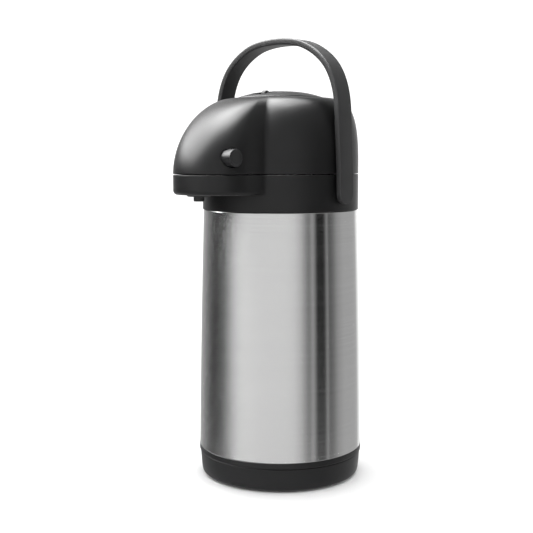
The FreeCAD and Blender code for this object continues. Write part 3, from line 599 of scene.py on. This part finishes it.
# ------------------------------------------------------------------ lid
def lid_mesh():
    rows = []
    e = 0.9
    H = L_TOP - L_LOW
    n = EXPO

    def cv(v):
        return (1 - np.minimum(v, 1.0) ** n) ** (1 / n)
    for t in np.linspace(0, math.pi / 2, 6):
        inset = e * (1 - math.sin(t))
        z = e * (1 - math.cos(t))
        w = inset / 3.0
        r = out_r(0.0) * (1 - w) + out_r(3.0) * w
        v = z / H
        rows.append(ring_at(L_RIM + (r - L_RIM) * cv(v), L_LOW + z))
    t0 = 0.0
    for t in np.linspace(0, math.pi / 2, 84)[1:]:
        v = np.sin(t) ** (2 / n)
        c = np.cos(t) ** (2 / n) if t < math.pi / 2 - 1e-9 else np.zeros_like(n)
        lift = np.maximum(v, 1.6 * e / H * (1 + t))
        use = v >= lift
        c = np.where(use, c, cv(lift))
        v = np.where(use, v, lift)
        r = L_RIM + (out_r(0.0) - L_RIM) * c
        rows.append(ring_at(r, L_LOW + H * v))
    # rim and well
    for r, z in ((44.6, L_TOP), (43.9, L_TOP)):
        rows.append(ring_at(r, z))
    for t in np.linspace(0, math.pi / 2, 6):
        rows.append(ring_at(WELL + 0.9 * (1 - math.sin(t)), L_TOP - 0.9 * (1 - math.cos(t))))
    for r, z in ((WELL, L_TOP - 1.6), (WELL, 363.6), (WELL + 0.2, 363.4), (45.5, 363.4), (45.6, 363.0), (45.6, 326.0), (45.6, 325.0),
                 (47.8, 325.0), (47.8, 326.0), (47.8, 362.0)):
        rows.append(ring_at(r, z))
    top_in, rim_in = L_TOP - 3.0, L_RIM - 1.0
    Hi = top_in - L_LOW
    for t in np.linspace(math.pi / 2, 0, 46):
        v = np.sin(t) ** (2 / n)
        c = np.cos(t) ** (2 / n) if t < math.pi / 2 - 1e-9 else np.zeros_like(n)
        r = np.maximum(rim_in + (out_r(3.0) - rim_in) * c, 47.8)
        rows.append(ring_at(r, L_LOW + Hi * v))
    v, f = skin(rows)
    return make("lid_dome", v, f)


lid = lid_mesh()
holes = bar_x("cut_b", RR + 0.9, 20.0, 60.0, -RY, RZ)
lid = carve(lid, holes, prism("cut_c", (-22.5, 66.0, 290.0), (-13.9, 82.0, 300.8)), prism("cut_d", (13.9, 66.0, 290.0), (22.5, 82.0, 300.8)),
            prism("cut_e", (-4.5, -52.0, L_TOP - 7.6), (4.5, -44.0, L_TOP - 4.4)))
knuckle = lathe_x("lidk", [(0.0, -13.7), (4.0, -13.7), (4.0, 13.7), (0.0, 13.7)], 72.0, 296.0, 48, 0.5)
web = slab("lidw", (-13.7, 70.6, 296.0), (13.7, 75.3, 306.0), 0.5)
dress(join("lid", lid, knuckle, web), "lid", "lid_shell")

# ------------------------------------------------------------------ pump button and its lock
crown = [(0.0, CROWN), (14.0, CROWN - 0.5), (26.0, CROWN - 1.9), (35.0, CROWN - 4.0), (40.2, CROWN - 5.6)]
crown_pts = [(float(r), float(z), 0) for r, z in spline([(-14.0, CROWN - 0.5)] + crown, 40)[10:]]
crown_pts = [(max(r, 0.0), z, 0) for r, z, _ in crown_pts if r > 0.5]
top = lathe("button_disc", [(0.0, CROWN, 0)] + crown_pts + [
    (BUTTON - 0.35, CROWN - 6.15, 0.5), (BUTTON, CROWN - 6.9, 0.4), (BUTTON, L_TOP - 4.5, 0.2), (FLANGE, L_TOP - 4.5), (FLANGE, L_TOP - 7.7),
    (39.2, L_TOP - 7.7), (39.2, CROWN - 9.4), (34.0, CROWN - 8.2, 1), (25.6, CROWN - 6.6, 1), (12.0, CROWN - 6.0, 1),
    (12.0, L_TOP - 7.6), (9.0, L_TOP - 7.6), (9.0, CROWN - 6.0, 0.5), (0.0, CROWN - 6.0, 0)], seg=224)
dish = make("cut_f", *bar_rows(13.0, CROWN - 4.0, CROWN + 3.0, 0.0, -24.0, 96))
top = carve(top, dish,
            prism("cut_g", (-2.6, -30.2, L_TOP - 6.2), (2.6, -14.8, CROWN - 3.0)),
            prism("cut_h", (-4.6, -48.0, L_TOP - 8.2), (4.6, -37.0, L_TOP - 4.3)))
top.name = "press_disc"
dress(top, "pump", "pump_button")


def knob_mesh():
    """A small upright fin, rounded over its top."""
    rows = []
    zb, zt = CROWN - 3.8, CROWN
    y0, y1 = -25.1, -17.8
    for i in range(15):
        t = i / 14
        s = math.cos(t * math.pi / 2) ** 0.62 if t < 1 else 0.0
        hx, hy = 1.0 + 2.5 * s, 0.9 + 2.75 * s
        cy = -21.3 - 0.25 * (1 - s)
        z = zb + (zt - zb) * math.sin(t * math.pi / 2) ** 1.1
        rows.append([(hx * math.copysign(abs(math.cos(a)) ** 0.6, math.cos(a)),
                      cy + hy * math.copysign(abs(math.sin(a)) ** 0.6, math.sin(a)), z) for a in np.linspace(0, 2 * math.pi, 48, endpoint=False)])
    v, f = skin(rows, loop=False)
    n = 48
    f = list(f) + [tuple(range(n))[::-1], tuple(range(len(v) - n, len(v)))]
    return make("knob", v, f)


tongue = slab("tongue", (-4.2, -43.4, L_TOP - 7.3), (4.2, -15.4, L_TOP - 4.8), 0.4)
stem = slab("stem", (-2.2, -23.6, L_TOP - 5.6), (2.2, -19.0, L_TOP + 4.0), 0.3)
dress(join("lock_knob", knob_mesh(), stem, tongue), "lock", "lock_slider")


# ------------------------------------------------------------------ release button
cap = lathe_x("cap", [(0.0, RF - 0.5, 0), (5.2, RF - 0.42, 2), (6.6, RF, 0.8), (RR, RF - 0.05, 0.7),
                      (RR, 24.2, 0.3), (0.0, 24.2, 0)], -RY, RZ, 72, 0.5)
back = slab("back", (22.2, -106.0, 299.6), (24.2, -89.5, 316.0), 0.4)
arm = slab("arm", (22.2, -105.5, 285.0), (24.2, -97.5, 300.2), 0.3)
tooth = slab("tooth", (22.2, -105.5, 285.0), (31.2, -97.5, 287.6), 0.3)
dress(join("release_cap", cap, back, arm, tooth), "release", "release_button")

# ------------------------------------------------------------------ outlet
noz = lathe("outlet", [
    (3.5, 271.8, 0.3), (4.5, 271.8, 0.3), (4.9, 272.6, 0.3), (5.0, 280.0, 0), (6.6, 280.0), (6.6, 281.5), (4.75, 281.5, 0.2), (4.75, 280.6, 0), (3.5, 280.6, 0)],
    seg=72, x=0, y=-OUT, radius=0.3)
dress(noz, "pot", "spout_nozzle")
fl = lathe("outlet_flange", [(5.05, 276.2, 0.2), (10.2, 276.2, 0.4), (10.8, 276.8, 0.3), (10.8, 277.5, 0), (5.05, 277.5, 0)], seg=96, x=0, y=-OUT)
dress(fl, "pot", "spout_flange")

# ------------------------------------------------------------------ bail
half_outer = [(BO, BP), (BO - 0.9, BP + 30.0), (BO - 2.6, BP + 60.0), (BO - 4.6, BP + 88.0),
              (BO - 10.4, BP + 107.7), (BO - 17.2, BP + 119.2), (BO - 28.9, BP + 130.6),
              (BO - 41.0, BP + 138.0), (BO - 50.3, BP + 141.9), (BO - 66.0, BC - 1.0), (0.0, BC)]
pts = half_outer + [(-x, z) for x, z in reversed(half_outer[:-1])]


def bail_mesh():
    line = spline(pts, 181)
    tang = np.gradient(line, axis=0)
    tang /= np.linalg.norm(tang, axis=1)[:, None]
    inward = np.stack([tang[:, 1], -tang[:, 0]], -1)
    flip = ((np.array([0, 300.0]) - line) * inward).sum(1) < 0
    inward[flip] *= -1
    path = [(p, n, BW / 2, BT) for p, n in zip(line, inward)]
    # round ends about the pivots
    ends = []
    for t in np.linspace(0, 1, 15)[1:]:
        a = t * math.pi / 2
        d = BW / 2 * math.sin(a)
        w = BW / 2 * max(math.cos(a), 0.0)
        ends.append((d, w))
    def end_rows(p, n):
        return [(p + np.array([0.0, -d]), n, w, BT) for d, w in ends]
    first = list(reversed(end_rows(line[0], np.array([-1.0, 0.0]))))
    last = end_rows(line[-1], np.array([1.0, 0.0]))
    path = first + path + last
    rows = []
    for p, n, w, th in path:
        e = 1.5
        w = max(w, 0.02)
        ew = min(e, w * 0.95)
        row = []
        # a flat outer face, a flat inner face, rounded edges
        for cx, cy, a0 in ((1, 0, 0), (1, 1, 90), (-1, 1, 180), (-1, 0, 270)):
            for a in np.linspace(0, 90, 6):
                t = math.radians(a0 + a)
                yy = cx * (w - ew) + ew * (math.cos(t - math.pi / 2) if False else 0)
                row.append(None)
        row = []
        corners = ((w, 0.0, 1, 1), (w, th, 1, -1), (-w, th, -1, -1), (-w, 0.0, -1, 1))
        for k, (y, d, sy, sd) in enumerate(corners):
            c = (y - sy * ew, d + sd * e)
            start = {0: 180 + 90, 1: 0, 2: 90, 3: 180}[k]
            for a in np.linspace(0, 90, 7):
                t = math.radians(start + a)
                row.append((c[0] + ew * math.cos(t), c[1] + e * math.sin(t)))
        pts3 = []
        for y, d in row:
            bow = 0.0
            q = p + n * (d + bow)
            pts3.append((q[0], y, q[1]))
        rows.append(pts3)
    v, f = skin(rows, loop=False)
    n0 = len(rows[0])
    f = list(f) + [tuple(range(n0))[::-1], tuple(range(len(v) - n0, len(v)))]
    ob = make("bail_band", v, f)
    return ob


dress(bail_mesh(), "bail", "bail_handle")


# ------------------------------------------------------------------ bellows and springs
def bellows_mesh():
    pts_b = [(33.2, 299.0, 0.3)]
    z = 300.6
    for i in range(6):
        z = 300.6 + i * 8.6
        pts_b += [(33.4, z, 1.4), (27.5, z + 4.3, 1.4)]
    pts_b += [(33.4, 300.6 + 51.6, 1.4), (33.2, 355.3, 0.5), (3.0, 355.3, 0.2), (3.0, 354.2, 0.2), (32.0, 354.2, 0.4), (32.2, 300.9 + 51.6, 1.0)]
    for i in reversed(range(6)):
        z = 300.6 + i * 8.6
        pts_b += [(26.3, z + 4.3, 1.2), (32.2, z + 0.3, 1.2)]
    pts_b = pts_b[:-1] + [(32.0, 300.2, 0.3), (24.0, 300.2, 0.2), (24.0, 299.0, 0.2)]
    return lathe("pump_bellows", pts_b, seg=128, radius=1.2, steps=6)


def tube_coil(name, radius, wire, turns, z0, z1, seg=14, per=64):
    n = int(turns * per) + 1
    t = np.linspace(0, turns * 2 * math.pi, n)
    zc = z0 + wire / 2 + (z1 - z0 - wire) * t / t[-1]
    c = np.stack([radius * np.cos(t), radius * np.sin(t), zc], -1)
    d = np.gradient(c, axis=0)
    d /= np.linalg.norm(d, axis=1)[:, None]
    side = np.stack([np.cos(t), np.sin(t), 0 * t], -1)
    side -= (side * d).sum(1)[:, None] * d
    side /= np.linalg.norm(side, axis=1)[:, None]
    up = np.cross(d, side)
    ang = np.arange(seg) * 2 * math.pi / seg
    rows = c[:, None, :] + (wire / 2) * (np.cos(ang)[None, :, None] * side[:, None, :] + np.sin(ang)[None, :, None] * up[:, None, :])
    v, f = skin(rows, loop=False)
    f = list(f) + [tuple(range(seg))[::-1], tuple(range(len(v) - seg, len(v)))]
    return make(name, v, f)


bel = dress(bellows_mesh(), "lid", "bellows")
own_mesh(bel)
coil = dress(tube_coil("pump_spring", 17.0, 1.8, 6, 299.2, 353.6), "lid", "return_spring")
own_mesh(coil)

# ------------------------------------------------------------------ camera
AZ = math.radians(42.5)
cam_data = bpy.data.cameras.new("camera")
cam = link(bpy.data.objects.new("camera", cam_data))
cam.location = (0.97485 * math.sin(AZ), -0.97485 * math.cos(AZ), 0.3077)
yaw = math.radians(0.80)
fwd = Vector((-math.sin(AZ), math.cos(AZ), 0.0))
fwd.rotate(Matrix.Rotation(yaw, 3, "Z"))
pitch = math.radians(6.04)
fwd = Vector((fwd.x * math.cos(pitch), fwd.y * math.cos(pitch), -math.sin(pitch)))
cam.rotation_mode = "QUATERNION"
cam.rotation_quaternion = fwd.to_track_quat("-Z", "Y")
cam_data.lens = 67.07
cam_data.sensor_width = 36.0
cam_data.clip_start, cam_data.clip_end = 0.01, 60.0
bpy.context.scene.camera = cam

# ------------------------------------------------------------------ floor, studio and light
floor_mesh = bpy.data.meshes.new("floor")
ang = np.linspace(0, 2 * math.pi, 97)[:-1]
fv = [(4.5 * math.cos(a), 4.5 * math.sin(a), 0.0) for a in ang]
floor_mesh.from_pydata(fv, [], [tuple(range(96))])
floor = link(bpy.data.objects.new("floor", floor_mesh))
fm, fnt, fp = new_mat("floor_paper")
fn = noise(fnt, coords(fnt), 6.0, 3.0)
fnt.links.new(two_colours(fnt, fn, (0.86, 0.86, 0.86), (0.88, 0.88, 0.88)), fp.inputs["Base Color"])
fp.inputs["Roughness"].default_value = 0.9
floor.data.materials.append(fm)
floor.visible_glossy = False

world = bpy.data.worlds.new("studio")
bpy.context.scene.world = world
world.use_nodes = True
world.cycles.sampling_method = "NONE"
wt = world.node_tree
wt.nodes.clear()
wout = wt.nodes.new("ShaderNodeOutputWorld")
wtc = wt.nodes.new("ShaderNodeTexCoord")


def wdot(vec):
    n = node(wt, "ShaderNodeVectorMath", operation="DOT_PRODUCT")
    n.inputs[1].default_value = vec
    wt.links.new(wtc.outputs["Generated"], n.inputs[0])
    return n.outputs["Value"]


def wmath(op, a, b=None, clamp=False):
    n = node(wt, "ShaderNodeMath", operation=op)
    n.use_clamp = clamp
    for i, x in enumerate((a, b)):
        if x is None:
            continue
        if isinstance(x, (int, float)):
            n.inputs[i].default_value = x
        else:
            wt.links.new(x, n.inputs[i])
    return n.outputs[0]


def ramp(nt, fac, stops, mode="LINEAR"):
    r = nt.nodes.new("ShaderNodeValToRGB")
    r.color_ramp.interpolation = mode
    els = r.color_ramp.elements
    while len(els) < len(stops):
        els.new(0.5)
    for e, (p, c) in zip(els, sorted(stops)):
        e.position, e.color = p, (c, c, c, 1)
    for i, (p, c) in enumerate(sorted(stops)):
        els[i].position, els[i].color = p, (c, c, c, 1)
    nt.links.new(fac, r.inputs["Fac"])
    return r.outputs["Color"]


front = wdot((math.sin(AZ), -math.cos(AZ), 0))
right = wdot((math.cos(AZ), math.sin(AZ), 0))
up = wdot((0, 0, 1))
azim = wmath("ARCTAN2", right, front)          # 0 towards the front panel, positive to the right
share = wmath("ADD", wmath("MULTIPLY", azim, 0.5 / math.pi), 0.5)
# panels and flags round the horizon: (degrees, strength)
PANELS = [(-180, 0.75), (-158, 0.50), (-140, 0.34), (-122, 0.12), (-110, 0.0), (-100, 0.0), (-90, 0.03), (-80, 0.24),
          (-70, 0.58), (-60, 0.84), (-50, 0.94), (-35, 0.93), (8, 0.91), (20, 0.85), (30, 0.62), (38, 0.30), (43, 0.20),
          (47, 0.46), (51, 0.24), (54, 0.0), (66, 0.0), (69, 0.14), (71.5, 0.42), (74, 0.10), (82, 0.18), (91, 0.38),
          (104, 0.50), (136, 0.50), (145, 0.56), (152, 1.05), (164, 1.1), (180, 0.75)]
horizon = ramp(wt, share, [((d / 360.0) + 0.5, c) for d, c in PANELS])
# above: a broad panel on the left and overhead, dark to the right front
high_fac = ramp(wt, wmath("ADD", wmath("MULTIPLY", up, 0.5), 0.5), [(0.0, 0.0), (0.5 + 0.5 * 0.25, 0.0), (0.5 + 0.5 * 0.42, 1.0), (1.0, 1.0)], "EASE")


def panel_above(vec, low_edge, high_edge):
    """1 inside a cone about vec, 0 outside it, soft between the two cosines."""
    return ramp(wt, wmath("ADD", wmath("MULTIPLY", wdot(vec), 0.5), 0.5),
                [(0.0, 0.0), (0.5 + 0.5 * low_edge, 0.0), (0.5 + 0.5 * high_edge, 1.0), (1.0, 1.0)], "EASE")


def toward(az, el):
    a, e = math.radians(az), math.radians(el)
    f, r = math.cos(e) * math.cos(a), math.cos(e) * math.sin(a)
    return (f * math.sin(AZ) + r * math.cos(AZ), -f * math.cos(AZ) + r * math.sin(AZ), math.sin(e))


left_box = panel_above(toward(-104, 46), math.cos(math.radians(44)), math.cos(math.radians(31)))
top_box = panel_above(toward(-150, 84), math.cos(math.radians(32)), math.cos(math.radians(12)))
back_fade = ramp(wt, wmath("ADD", wmath("MULTIPLY", wdot(toward(-172, 18)), 0.5), 0.5),
                 [(0.0, 1.0), (0.5 + 0.5 * 0.55, 1.0), (0.5 + 0.5 * 0.96, 0.14), (1.0, 0.12)], "EASE")
front_box = panel_above(toward(-8, 75), math.cos(math.radians(14)), math.cos(math.radians(5)))
upper_level = wmath("ADD", wmath("MULTIPLY", wmath("MULTIPLY", left_box, back_fade), 13.0), wmath("MULTIPLY", top_box, 12.0))
upper_level = wmath("ADD", upper_level, wmath("MULTIPLY", front_box, 13.0))
upper_level = wmath("ADD", upper_level, 0.45)
mixc = node(wt, "ShaderNodeMix", data_type="RGBA")
wt.links.new(high_fac, mixc.inputs["Factor"])
wt.links.new(horizon, mixc.inputs["A"])
wt.links.new(upper_level, mixc.inputs["B"])
low_fac = ramp(wt, wmath("ADD", wmath("MULTIPLY", up, 0.5), 0.5), [(0.0, 1.0), (0.5 - 0.5 * 0.50, 1.0), (0.5 - 0.5 * 0.26, 0.0), (1.0, 0.0)], "EASE")
mixf = node(wt, "ShaderNodeMix", data_type="RGBA")
wt.links.new(low_fac, mixf.inputs["Factor"])
wt.links.new(mixc.outputs["Result"], mixf.inputs["A"])
mixf.inputs["B"].default_value = (0.66, 0.66, 0.66, 1)
glossy_env = mixf.outputs["Result"]
bg_gloss = node(wt, "ShaderNodeBackground", Strength=1.0)
wt.links.new(glossy_env, bg_gloss.inputs["Color"])
bg_soft = node(wt, "ShaderNodeBackground", Strength=1.25)
bg_soft.inputs["Color"].default_value = (1, 1, 1, 1)
lp = wt.nodes.new("ShaderNodeLightPath")
ms = wt.nodes.new("ShaderNodeMixShader")
wt.links.new(lp.outputs["Is Glossy Ray"], ms.inputs["Fac"])
wt.links.new(bg_soft.outputs[0], ms.inputs[1])
wt.links.new(bg_gloss.outputs[0], ms.inputs[2])
wt.links.new(ms.outputs[0], wout.inputs["Surface"])


def softbox(name, where, size, watts):
    d = bpy.data.lights.new(name, "AREA")
    d.shape, d.size, d.size_y, d.energy = "RECTANGLE", size[0], size[1], watts
    o = link(bpy.data.objects.new(name, d))
    o.location = where
    aim = Vector((0, 0, 0.25)) - Vector(where)
    o.rotation_mode = "QUATERNION"
    o.rotation_quaternion = aim.to_track_quat("-Z", "Y")
    return o


over = softbox("overhead", (-0.35, 0.35, 2.0), (1.6, 1.6), 14)
over.visible_glossy = False

bpy.context.scene.view_settings.view_transform = "Standard"
bpy.context.scene.view_settings.look = "None"
